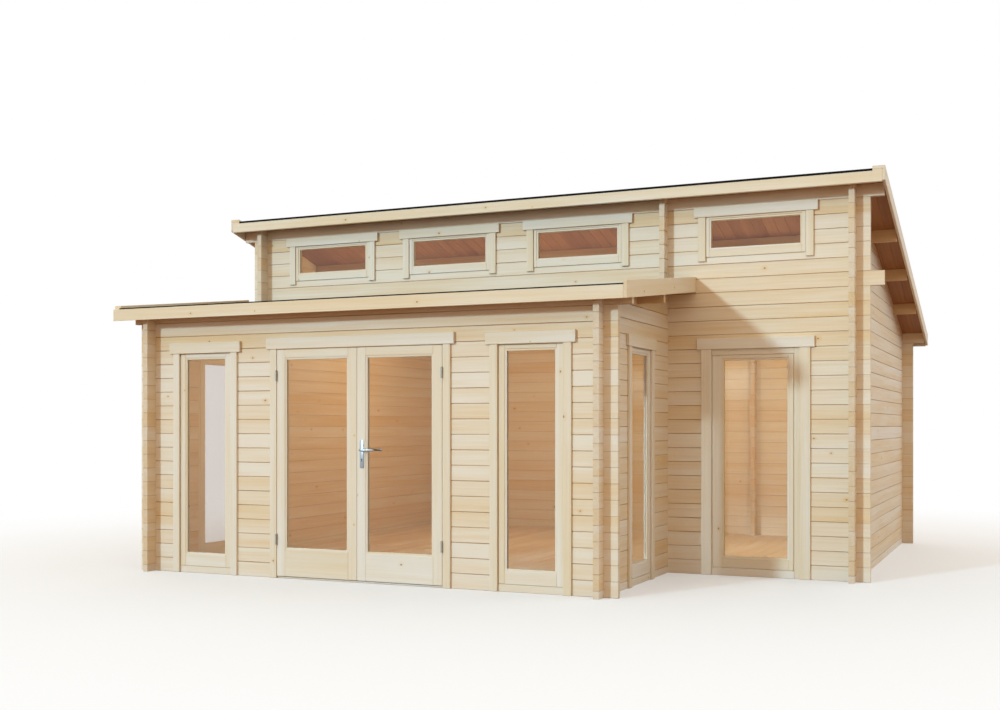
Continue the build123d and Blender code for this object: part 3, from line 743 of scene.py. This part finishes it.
def make_door_leaf(side):
    """Stiles, rails and beads of one leaf. A tongue on the right leaf closes the meeting gap."""
    low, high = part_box(f"door_leaf_{side}")
    pane_low, pane_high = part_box(f"door_pane_{side}")
    x, y = door_origin[0], door_origin[1]
    boards = Boards(door_origin, wall_axes["front"])
    sash = (low.x - x, low.z, high.x - x, high.z)
    pane = (pane_low.x - x, pane_low.z, pane_high.x - x, pane_high.z)
    add_sash(boards, sash, pane, y - high.y, y - low.y, y - pane_high.y, y - pane_low.y)
    if side == "right":
        edge, face = sash[0], y - low.y
        boards.add((edge - tongue_width, low.z, face - tongue_depth), (edge, high.z, face), 1, fine_arris)
    boards.make(f"door_leaf_{side}_joinery", joinery, f"{side}_leaf", "joinery", f"door_leaf_{side}")


make_door_frame()
for side in ("left", "right"):
    make_door_leaf(side)

# Floors


def make_floor(node, notches):
    """Tongued boards from front to back, cut short where log ends stand in the floor."""
    low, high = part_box(node)
    boards = Boards()
    edges = np.append(np.arange(low.x, high.x - floor_board_cover / 2, floor_board_cover), high.x)
    for x_low, x_high, _, _ in notches:
        edges = np.append(edges, [x_low, x_high])
    edges = np.unique(np.clip(edges, low.x, high.x))
    for left, right in zip(edges[:-1], edges[1:]):
        front, back = low.y, high.y
        for x_low, x_high, y_low, y_high in notches:
            if x_low < (left + right) / 2 < x_high:
                front, back = max(front, y_low), min(back, y_high)
        boards.add((left + board_gap / 2, front, low.z), (right - board_gap / 2, back, high.z), 1)
    boards.make(node + "_boards", floor_boards, "house", "floor_boards", node)


# Each notch: its sides along X, and how far the boards between them reach along Y
left_end_low, left_end_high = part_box("main_front_wall_left_end")
bay_low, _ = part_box("main_front_wall_right_bay")
side_low, side_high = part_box("annex_side_wall")
back_low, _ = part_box("cross_wall_back_end")
foremost = cad_box[0].y
make_floor("floor_annex", [
    (left_end_low.x, left_end_high.x, foremost, left_end_low.y),
    (bay_low.x, side_low.x, foremost, bay_low.y),
])
make_floor("floor_main", [(side_low.x, side_high.x, side_high.y, back_low.y)])

# Roofs: a frame whose second axis leans with the slope, its origin on the underside


def roof_frame(node, slope, rise):
    """Origin, axes and depth of a roof's layer of boards.

    The origin is at the roof's front edge, where the fascia stands in front of the boards.
    """
    low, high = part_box(node)
    underside = high.z - rise if slope < 0 else low.z
    origin = (0, low.y - fascia_thickness, underside - fascia_thickness * slope)
    return origin, ((1, 0, 0), (0, 1, slope), (0, 0, 1)), high.y - low.y


main_origin, main_axes, main_laid_depth = roof_frame("main_roof_boards", main_slope, main_board_rise)
annex_origin, annex_axes, annex_laid_depth = roof_frame("annex_roof_boards", annex_slope, annex_board_rise)
main_depth = main_laid_depth + 2 * fascia_thickness
annex_depth = annex_laid_depth + fascia_thickness


def make_roof_boards(node, origin, axes, rise):
    """Tongued boards that run down the slope."""
    low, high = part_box(node)
    boards = Boards(origin, axes)
    count = round((high.x - low.x) / roof_board_cover)
    edges = np.linspace(low.x, high.x, count + 1)
    depth = high.y - low.y
    for left, right in zip(edges[:-1], edges[1:]):
        boards.add(
            (left + board_gap / 2, fascia_thickness, 0),
            (right - board_gap / 2, fascia_thickness + depth, rise), 1,
        )
    boards.make(node + "_laid", roof_timber, "house", "roof_timber", node)


def felt_rows(depth, top, slope):
    """Sawtooth of felt rows down a slope, as rows of depth, height and nearness to a lap.

    Each row rises by one felt step towards its lower edge, where it laps over the next row.
    Between its ends a row has a point one lap seam's width from that edge.
    """
    count = round(depth / felt_row)
    start = np.arange(count) * depth / count
    end = start + depth / count
    falls = slope < 0
    seam = end - felt_seam if falls else start + felt_seam
    first, last = (top - felt_step, top) if falls else (top, top - felt_step)
    at_seam = first + (last - first) * (seam - start) / (end - start)
    flat, full = np.zeros(count), np.ones(count)
    ends = (flat, full) if falls else (full, flat)
    return np.stack([
        start, np.full(count, first), ends[0], seam, at_seam, flat, end, np.full(count, last), ends[1],
    ], 1).reshape(-1, 3)


def make_felt(node, origin, axes, depth, rises, slope, lip=0.0, margin=0.0):
    """Felt on a roof: a profile of rows that lap, carried along the eaves.

    A lip turns down in front where one is given, and a margin at each side leaves room for caps.
    """
    low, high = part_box(node)
    board_rise, top = rises
    lip_turn = [(-felt_turn, board_rise - lip, 1), (0, board_rise - lip, 1)] if lip else []
    below = [*lip_turn, (0, board_rise, 1), (depth, board_rise, 1)]
    profile = np.array([*below, *felt_rows(depth, top, slope)[::-1]])
    count = len(profile)
    across = np.array([low.x + margin, high.x - margin])
    local = np.column_stack([np.repeat(across, count), np.tile(profile[:, :2], (2, 1))])
    points = np.array(origin) + local @ np.array(axes, float)
    step = np.arange(count)
    after = (step + 1) % count
    quads = np.stack([step, step + count, after + count, after], 1).tolist()
    faces = [*quads, step.tolist(), (step[::-1] + count).tolist()]
    made = closed_shell(node + "_rows", points, faces, felt)
    add_values(made.data, "lap", "FLOAT", "POINT", np.tile(profile[:, 2], 2))
    place_piece(made, "house", "roofing_felt", node)


def closed_shell(name, points, faces, material):
    """Closed mesh whose faces all look outwards."""
    made = mesh_object(name, points, faces, [material])
    shell = bmesh.new()
    shell.from_mesh(made.data)
    bmesh.ops.recalc_face_normals(shell, faces=shell.faces)
    shell.to_mesh(made.data)
    shell.free()
    return made


make_roof_boards("main_roof_boards", main_origin, main_axes, main_board_rise)
make_roof_boards("annex_roof_boards", annex_origin, annex_axes, annex_board_rise)
make_felt(
    "main_roof_felt", main_origin, main_axes, main_depth, (main_board_rise, main_roof_rise), main_slope,
    felt_lip, cap_width - fascia_thickness,
)
make_felt(
    "annex_roof_felt", annex_origin, annex_axes, annex_depth, (annex_board_rise, annex_roof_rise),
    annex_slope,
)


def make_roof_edges():
    """Fascias in front and behind, barge boards at the sides, and the main roof's caps."""
    boards = Boards(main_origin, main_axes)
    low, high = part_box("main_fascias")
    foot = main_board_rise - fascia_height
    for front in (0, main_depth - fascia_thickness):
        boards.add((low.x, front, foot), (high.x, front + fascia_thickness, main_board_rise), 0)
    boards.make("main_fascia_boards", edge_boards, "house", "edge_boards", "main_fascias")

    boards = Boards(main_origin, main_axes)
    low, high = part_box("main_barge_boards")
    for side, cap in ((low.x, low.x), (high.x - fascia_thickness, high.x - cap_width)):
        boards.add(
            (side, 0, main_roof_rise - main_barge_height),
            (side + fascia_thickness, main_depth, main_board_rise), 1,
        )
        top = main_roof_rise + cap_thickness
        boards.add((cap, 0, main_board_rise), (cap + cap_width, main_depth, top), 1)
    boards.make("main_barge_and_cap_boards", edge_boards, "house", "edge_boards", "main_barge_boards")

    # The annex fascia covers the front end of the left barge board
    boards = Boards(annex_origin, annex_axes)
    low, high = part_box("annex_barge_boards")
    top = annex_roof_rise + annex_barge_upstand
    foot = top - annex_barge_height
    fascia_end = high.x - annex_right_barge
    boards.add((low.x, 0, foot), (fascia_end, fascia_thickness, annex_board_rise), 0)
    boards.make("annex_fascia_board", edge_boards, "house", "edge_boards", "annex_fascia")

    boards = Boards(annex_origin, annex_axes)
    boards.add((low.x, fascia_thickness, foot), (low.x + annex_left_barge, annex_depth, top), 1)
    boards.add((fascia_end, 0, foot), (high.x, annex_depth, top), 1)
    boards.make("annex_barges", edge_boards, "house", "edge_boards", "annex_barge_boards")


def make_purlins(node, count, height, slope, roof_origin):
    """Purlins with flat bottoms, their tops planed to the slope."""
    low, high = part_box(node)
    boards = Boards()
    half = log_thickness / 2
    for y in np.linspace(low.y + half, high.y - half, count):
        top = roof_origin[2] + (y - roof_origin[1]) * slope
        boards.add((low.x, y - half, top - height), (high.x, y + half, top), 0, arris, slope)
    boards.make(node + "_planed", purlin_timber, "house", "roof_timber", node)


make_roof_edges()
make_purlins("main_purlins", 3, main_purlin_height, main_slope, main_origin)
make_purlins("annex_purlin", 1, annex_purlin_height, annex_slope, annex_origin)

# Fittings of the double door


def turned_points(centre, profile, sides=28):
    """Rings of a turned shape: radius and height pairs, turned about a vertical axis."""
    angle = np.arange(sides) * 2 * pi / sides
    radius, height = np.array(profile).T
    rings = np.stack([
        radius[:, None] * np.cos(angle), radius[:, None] * np.sin(angle),
        np.broadcast_to(height[:, None], (len(radius), sides)),
    ], -1)
    return np.array(centre) + rings


def swept_points(path, half_out, half_up, sides=24):
    """Rings of a bar along a level path: ellipses square to it, wider where half_out is."""
    ahead = np.gradient(path, axis=0)
    ahead /= np.linalg.norm(ahead, axis=1)[:, None]
    level = np.cross(ahead, (0, 0, 1))
    angle = np.arange(sides) * 2 * pi / sides
    out = (half_out[:, None] * np.cos(angle))[..., None] * level[:, None]
    up = (half_up[:, None] * np.sin(angle))[..., None] * np.array((0, 0, 1))
    return path[:, None] + out + up


def rounded_rectangle(width, height, radius, corner_steps=7):
    """Outline of a rectangle with round corners, as points of a plane."""
    turn = np.linspace(0, pi / 2, corner_steps)
    quarters = [(1, 1, 0.0), (-1, 1, pi / 2), (-1, -1, pi), (1, -1, 1.5 * pi)]
    return np.concatenate([
        np.stack([
            right * (width / 2 - radius) + radius * np.cos(turn + start),
            up * (height / 2 - radius) + radius * np.sin(turn + start),
        ], 1)
        for right, up, start in quarters
    ])


def plate_points(centre, outward, width, height, thickness, radius, edge):
    """Rings of a thin upright plate whose outer edge is eased."""
    rings = []
    eased = edge * 0.3
    steps = ((0, 0), (0, thickness - edge), (eased, thickness - eased), (edge, thickness))
    for inset, depth in steps:
        outline = rounded_rectangle(width - 2 * inset, height - 2 * inset, radius - inset)
        rings.append(np.stack([
            centre[0] + outline[:, 0], np.full(len(outline), centre[1] + outward * depth),
            centre[2] + outline[:, 1],
        ], 1))
    return np.array(rings)


class Shells:
    """Closed round shapes of one piece, each a stack of rings closed by a face at both ends."""

    def __init__(self):
        self.points = []
        self.faces = []
        self.count = 0

    def add(self, rings):
        rows, sides = rings.shape[:2]
        row, side = np.meshgrid(np.arange(rows - 1), np.arange(sides), indexing="ij")
        after = (side + 1) % sides
        quads = np.stack([
            row * sides + side, row * sides + after, (row + 1) * sides + after, (row + 1) * sides + side,
        ], -1).reshape(-1, 4) + self.count
        ends = [np.arange(sides) + self.count, (rows - 1) * sides + np.arange(sides)[::-1] + self.count]
        self.points.append(rings.reshape(-1, 3))
        self.faces += quads.tolist() + [end.tolist() for end in ends]
        self.count += rows * sides

    def make(self, name, material, body, *replaced):
        made = closed_shell(name, np.concatenate(self.points), self.faces, material)
        made.data.shade_smooth()
        made.data.set_sharp_from_angle(angle=radians(35))
        return place_piece(made, body, "steel", *replaced)


def knuckle_profile(radius, bottom, top):
    """Radius and height pairs of a hinge knuckle with eased rims."""
    return [
        (radius - knuckle_rim, bottom), (radius, bottom + knuckle_rim),
        (radius, top - knuckle_rim), (radius - knuckle_rim, top),
    ]


def make_hinges(side, sign):
    """Lower knuckles on the frame, upper knuckles on the leaf, held by two screwed pins each."""
    frame_low, frame_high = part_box(f"frame_hinges_{side}")
    _, leaf_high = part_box(f"leaf_hinges_{side}")
    x, y = (frame_low.x + frame_high.x) / 2, (frame_low.y + frame_high.y) / 2
    radius = (frame_high.x - frame_low.x) / 2
    lower, upper = Shells(), Shells()
    levels = (frame_low.z, frame_high.z - knuckle_height)
    for level in levels:
        lower.add(turned_points((x, y, 0), knuckle_profile(radius, level, level + knuckle_height)))
        bottom = level + knuckle_height + knuckle_parting
        upper.add(turned_points((x, y, 0), knuckle_profile(radius, bottom, bottom + knuckle_height)))
        middle = bottom + knuckle_height / 2
        upper.add(turned_points((x, y, bottom + knuckle_height), finial))
        for pin_z in (middle - pin_spread, middle + pin_spread):
            path = np.full((3, 3), (x - sign * pin_shift, 0.0, pin_z))
            path[:, 1] = np.linspace(y, leaf_high.y, 3)
            upper.add(swept_points(path, np.full(3, pin_radius), np.full(3, pin_radius), 12))
    lower.make(f"frame_hinge_knuckles_{side}", hinge_steel, "house", f"frame_hinges_{side}")
    upper.make(f"leaf_hinge_knuckles_{side}", hinge_steel, f"{side}_leaf", f"leaf_hinges_{side}")


def lever_path(x, face, outward, level):
    """Middle line of a lever: out of the plate, round a quarter circle, then level along the leaf."""
    turn = np.linspace(0, pi / 2, 10)
    straight = np.linspace(0, lever_reach - lever_bend, 5)[:-1]
    out = np.concatenate([straight, lever_reach - lever_bend + lever_bend * np.sin(turn)])
    along = np.concatenate([0 * straight, lever_bend * (1 - np.cos(turn))])
    run = np.linspace(lever_bend, lever_length, 14)[1:]
    out = np.append(out, lever_reach - lever_return * (run / lever_length) ** 3)
    along = np.append(along, run)
    return np.stack([x + along, face + outward * out, np.full(len(out), level)], 1)


def make_handle():
    """Long plates, curved levers and keyholes on both faces of the right leaf."""
    low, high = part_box("door_handle")
    leaf_low, leaf_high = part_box("door_leaf_right")
    x = low.x + handle_plate_width / 2
    middle = (low.z + high.z) / 2
    level = middle + handle_plate_drop
    fittings, keyholes = Shells(), Shells()
    for face, outward in ((leaf_low.y, -1), (leaf_high.y, 1)):
        fittings.add(plate_points(
            (x, face, middle), outward, handle_plate_width, high.z - low.z, handle_plate_thickness,
            handle_plate_corner, handle_plate_edge,
        ))
        plate = face + outward * handle_plate_thickness
        fittings.add(plate_points(
            (x, plate, level), outward, rose_width, rose_width, rose_thickness, rose_corner, rose_edge,
        ))
        path = lever_path(x, face, outward, level)
        share = np.linspace(0, 1, len(path))
        half_out = np.interp(share, lever_shares, lever_half_out)
        half_up = np.interp(share, lever_shares, lever_half_up)
        fittings.add(swept_points(path, half_out, half_up))
        # A keyhole is a thin near-black plate on the handle plate: painted shade where the opening would
        # be
        hole = level - keyhole_drop
        slot = (hole - keyhole_slot_drop, keyhole_slot_width, keyhole_slot_height)
        for centre, width, height in ((hole, keyhole_round, keyhole_round), slot):
            keyholes.add(plate_points(
                (x, plate, centre), outward, width, height, keyhole_thickness,
                min(width, height) * keyhole_rounding, keyhole_edge,
            ))
    fittings.make("door_handle_fittings", handle_steel, "right_leaf", "door_handle")
    keyholes.make("door_keyholes", keyhole, "right_leaf")


for side, sign in (("left", -1), ("right", 1)):
    make_hinges(side, sign)
make_handle()


# Floor, lights and camera


def floor_material():
    """Pale studio floor that shows white far from the object, and keeps its shadow near it.

    Rays that bounce between rough surfaces meet a darker, warmer tone.
    """
    material, graph, shader = new_material("studio floor")
    place = graph.add("SeparateXYZ", graph.add("TexCoord", out=3)).node.outputs
    across, along = (graph.math("MULTIPLY", part, part) for part in (place[0], place[1]))
    reach = graph.math("SQRT", graph.math("ADD", across, along))
    far = graph.ramp(reach, *floor_fade, floor_lift, 1.0)
    seen, rays = graph.seen()
    graph.feed(shader["Base Color"], graph.blend(rays[2], floor_white, floor_bounce))
    graph.feed(shader["Roughness"], 0.9)
    output = graph.tree.nodes["Material Output"]
    white = graph.add("Emission", (1, 1, 1, 1), 1.0)
    diffuse = graph.tree.nodes["Principled BSDF"].outputs[0]
    share = graph.math("MULTIPLY", seen, far)
    graph.feed(output.inputs["Surface"], graph.add("MixShader", share, diffuse, white))
    return material


def add_floor():
    """Level floor just under the object."""
    half, level = 30.0, -0.0005
    corners = [(-half, -half, level), (half, -half, level), (half, half, level), (-half, half, level)]
    mesh_object("studio_floor", corners, [(0, 1, 2, 3)], [floor_material()])


def add_distant_light(name, direction, strength, softness, colour):
    """Light from far away along a direction, its source as wide as the softness in degrees."""
    light = bpy.data.lights.new(name, "SUN")
    light.energy = strength
    light.angle = radians(softness)
    light.color = colour
    lamp = bpy.data.objects.new(name, light)
    lamp.rotation_mode = "QUATERNION"
    lamp.rotation_quaternion = Vector(direction).to_track_quat("-Z", "Y")
    bpy.context.scene.collection.objects.link(lamp)


def add_room_lamps():
    """Soft lamps in the rooms, which themselves don't show."""
    for number, (place, watts, colour) in enumerate(room_lamps):
        light = bpy.data.lights.new(f"room lamp {number}", "POINT")
        light.energy = watts
        light.color = colour
        light.shadow_soft_size = room_lamp_radius
        lamp = bpy.data.objects.new(light.name, light)
        lamp.location = place
        for ray in ("camera", "glossy", "transmission"):
            setattr(lamp, f"visible_{ray}", False)
        bpy.context.scene.collection.objects.link(lamp)


def add_sky():
    """Even sky, which shows white where it is seen, mirrored or looked at through glass."""
    world = bpy.data.worlds.new("sky")
    world.use_nodes = True
    bpy.context.scene.world = world
    graph = Graph(world.node_tree)
    seen, _ = graph.seen()
    light = world.node_tree.nodes["Background"]
    graph.feed(light.inputs[0], (*sky_colour, 1))
    graph.feed(light.inputs[1], sky_strength)
    white = graph.add("Background", (1, 1, 1, 1), 1.0)
    output = world.node_tree.nodes["World Output"]
    graph.feed(output.inputs["Surface"], graph.add("MixShader", seen, light.outputs[0], white))


def add_camera():
    """The photograph's camera: level, with the frame shifted up."""
    lens = bpy.data.cameras.new("camera")
    lens.sensor_width = sensor_width
    lens.lens = focal_pixels / picture_width * sensor_width
    lens.shift_y = horizon_shift
    lens.clip_end = 200
    camera = bpy.data.objects.new("camera", lens)
    camera.location = camera_place
    camera.rotation_euler = (pi / 2, 0, radians(camera_turn))
    bpy.context.scene.collection.objects.link(camera)
    bpy.context.scene.camera = camera


add_floor()
add_distant_light("sun", sun_direction, sun_strength, sun_softness, sun_colour)
add_distant_light("soft fill", fill_direction, fill_strength, fill_softness, fill_colour)
add_room_lamps()
add_sky()
add_camera()
bpy.context.scene.view_settings.view_transform = "Standard"
